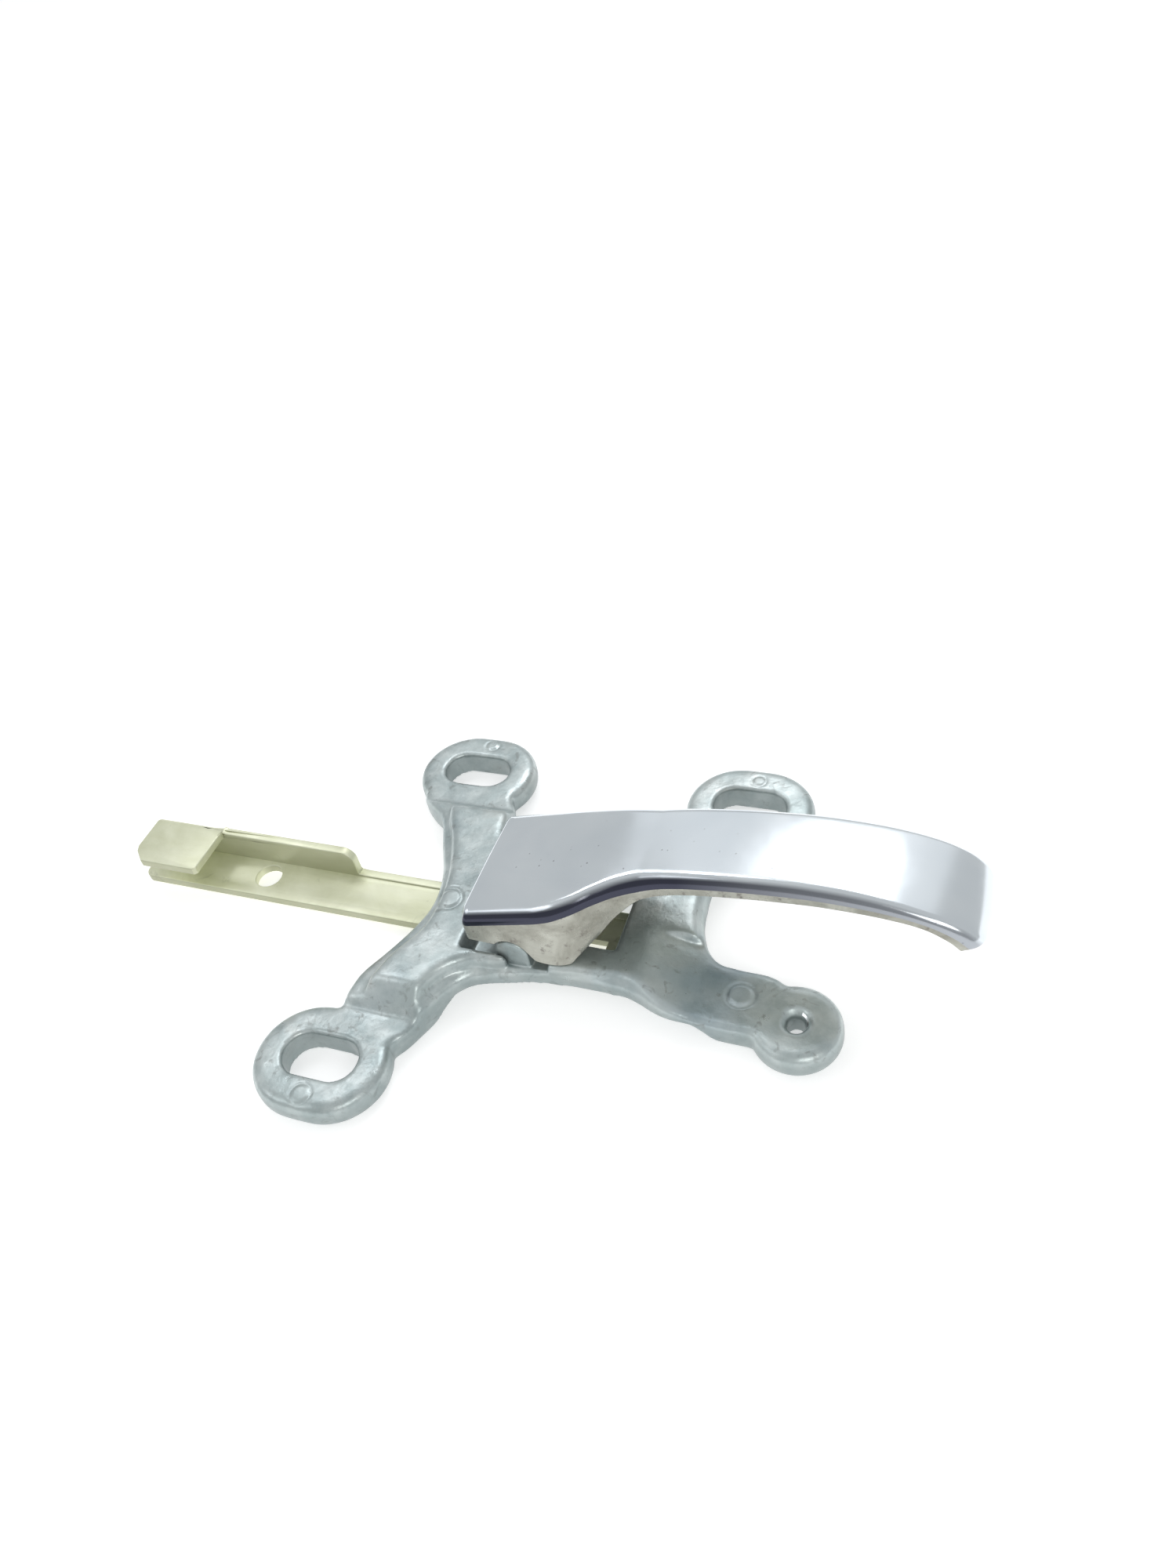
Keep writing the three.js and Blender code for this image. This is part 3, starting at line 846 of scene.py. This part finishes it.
def fold(x, s, t, across_strip, quarter, up_flange):
    """Place of a point of the sheet: x along it, s across it and t above its middle."""
    mid = BEND_R - BAR_THICK / 2
    z_mid = BAR_BOTTOM + BAR_THICK / 2
    y0 = BAR_FRONT + across_strip
    if s <= across_strip:
        return (x, BAR_FRONT + s, z_mid + t)
    s -= across_strip
    if s <= quarter:
        a = s / mid
        r = mid - t
        return (x, y0 + r * math.sin(a), z_mid + mid - r * math.cos(a))
    s -= quarter
    if s <= up_flange or x > TAB_RIGHT + 0.1:
        return (x, y0 + mid - t, z_mid + mid + s)
    s -= up_flange
    z1 = z_mid + mid + up_flange
    if s <= quarter:
        a = s / mid
        r = mid - t
        return (x, y0 + r * math.cos(a), z1 + r * math.sin(a))
    s -= quarter
    return (x, y0 - s, z1 + mid - t)


def bar_mesh():
    """The flat pattern as a thin plate, cut across at the folds and then folded."""
    loops, across_strip, quarter, up_flange = flat_pattern()
    curve = bpy.data.curves.new("bar_pattern", "CURVE")
    curve.dimensions = "2D"
    curve.fill_mode = "BOTH"
    edge = 0.22
    curve.extrude = BAR_THICK / 2 - edge
    curve.bevel_depth = edge
    curve.bevel_resolution = 2
    curve.offset = -edge
    for loop in loops:
        spline = curve.splines.new("POLY")
        spline.points.add(len(loop) - 1)
        for point, (x, s) in zip(spline.points, loop):
            point.co = (x, s, 0, 1)
        spline.use_cyclic_u = True
    obj = bpy.data.objects.new("bar_pattern", curve)
    bpy.context.scene.collection.objects.link(obj)
    bpy.context.view_layer.update()
    mesh = evaluated_copy(obj)
    bpy.data.objects.remove(obj)
    bm = bmesh.new()
    bm.from_mesh(mesh)
    bmesh.ops.remove_doubles(bm, verts=bm.verts, dist=1e-4)
    cuts = []
    for start in (across_strip, across_strip + quarter + up_flange):
        cuts += [start + quarter * k / 8 for k in range(9)]
    for s in cuts:
        everything = bm.verts[:] + bm.edges[:] + bm.faces[:]
        bmesh.ops.bisect_plane(bm, geom=everything, plane_co=(0, s, 0), plane_no=(0, 1, 0))
    for v in bm.verts:
        v.co = world(fold(v.co.x, v.co.y, v.co.z, across_strip, quarter, up_flange))
    bmesh.ops.recalc_face_normals(bm, faces=bm.faces)
    bm.to_mesh(mesh)
    bm.free()
    return mesh


bar = piece("bar_strip", bar_mesh(), [PLATED], "pull_bar", "pull_bar")

SHARP_ANGLE = 38  # edges that turn by more than this many degrees stay sharp
for sharp in (lever, hub, pin, bar, thread):
    split = sharp.modifiers.new("split", "EDGE_SPLIT")
    split.split_angle = math.radians(SHARP_ANGLE)


# ---- Floor, light and camera ----------------------------------------------

def floor():
    """A plain pale floor just under the part."""
    mesh = bpy.data.meshes.new("floor")
    half = 3.0
    corners = [(-half, -half, 0), (half, -half, 0), (half, half, 0), (-half, half, 0)]
    mesh.from_pydata(corners, [], [(0, 1, 2, 3)])
    obj = bpy.data.objects.new("floor", mesh)
    bpy.context.scene.collection.objects.link(obj)
    obj.location.z = cad_low.z - 2 * SWELL * MM
    p = Paint("floor_white").set(Roughness=0.9)
    white = p.ramp(p.noise(3, 2, 0.5), (0.3, (0.78, 0.78, 0.78)), (0.7, (0.82, 0.82, 0.82)))
    p.colour(white)
    p.link(white, p.bsdf.inputs["Emission Color"])
    p.set(Emission_Strength=0.62)
    mesh.materials.append(p.mat)


def lamp(name, place, size, power, colour=(1, 1, 1), aim=(0.01, 0, 0.01)):
    data = bpy.data.lights.new(name, "AREA")
    data.shape = "RECTANGLE"
    data.size, data.size_y = size
    data.energy = power
    data.color = colour
    obj = bpy.data.objects.new(name, data)
    bpy.context.scene.collection.objects.link(obj)
    obj.location = place
    back = Vector(place) - Vector(aim)
    obj.rotation_mode = "QUATERNION"
    obj.rotation_quaternion = back.to_track_quat("Z", "Y")


floor()
lamp("key", (0.02, 0.5, 0.72), (0.4, 0.3), 1.3, (0.96, 0.97, 1.0))
lamp("fill", (0.45, -0.55, 0.5), (0.35, 0.3), 1.2, (1.0, 0.98, 0.95))
lamp("sky", (0.0, 0.68, 0.62), (1.0, 0.6), 0.5, (0.95, 0.97, 1.0))
lamp("spark", (-0.35, 0.25, 0.75), (0.2, 0.2), 0.45, (0.96, 0.97, 1.0))
lamp("side", (-0.6, -0.36, 0.68), (0.4, 0.4), 0.6, (0.97, 0.98, 1.0))

studio = bpy.data.worlds.new("studio")
studio.use_nodes = True
studio.node_tree.nodes["Background"].inputs["Color"].default_value = (0.94, 0.955, 0.96, 1)
studio.node_tree.nodes["Background"].inputs["Strength"].default_value = 0.62
bpy.context.scene.world = studio
bpy.context.scene.view_settings.view_transform = "Standard"

CAMERA = {
    "place": (92.2, -136.2, 150.2),
    "forward": (-0.332, 0.6441, -0.6891),
    "roll": -12.1,
    "lens": 26.95,
}


def camera():
    data = bpy.data.cameras.new("camera")
    data.lens = CAMERA["lens"]
    data.sensor_width = 36
    data.clip_start, data.clip_end = 0.01, 20
    obj = bpy.data.objects.new("camera", data)
    bpy.context.scene.collection.objects.link(obj)
    forward = Vector(CAMERA["forward"]).normalized()
    turn = (-forward).to_track_quat("Z", "Y").to_matrix()
    roll = Matrix.Rotation(math.radians(CAMERA["roll"]), 3, "Z")
    obj.matrix_world = Matrix.Translation(world(CAMERA["place"])) @ (turn @ roll).to_4x4()
    bpy.context.scene.camera = obj


camera()
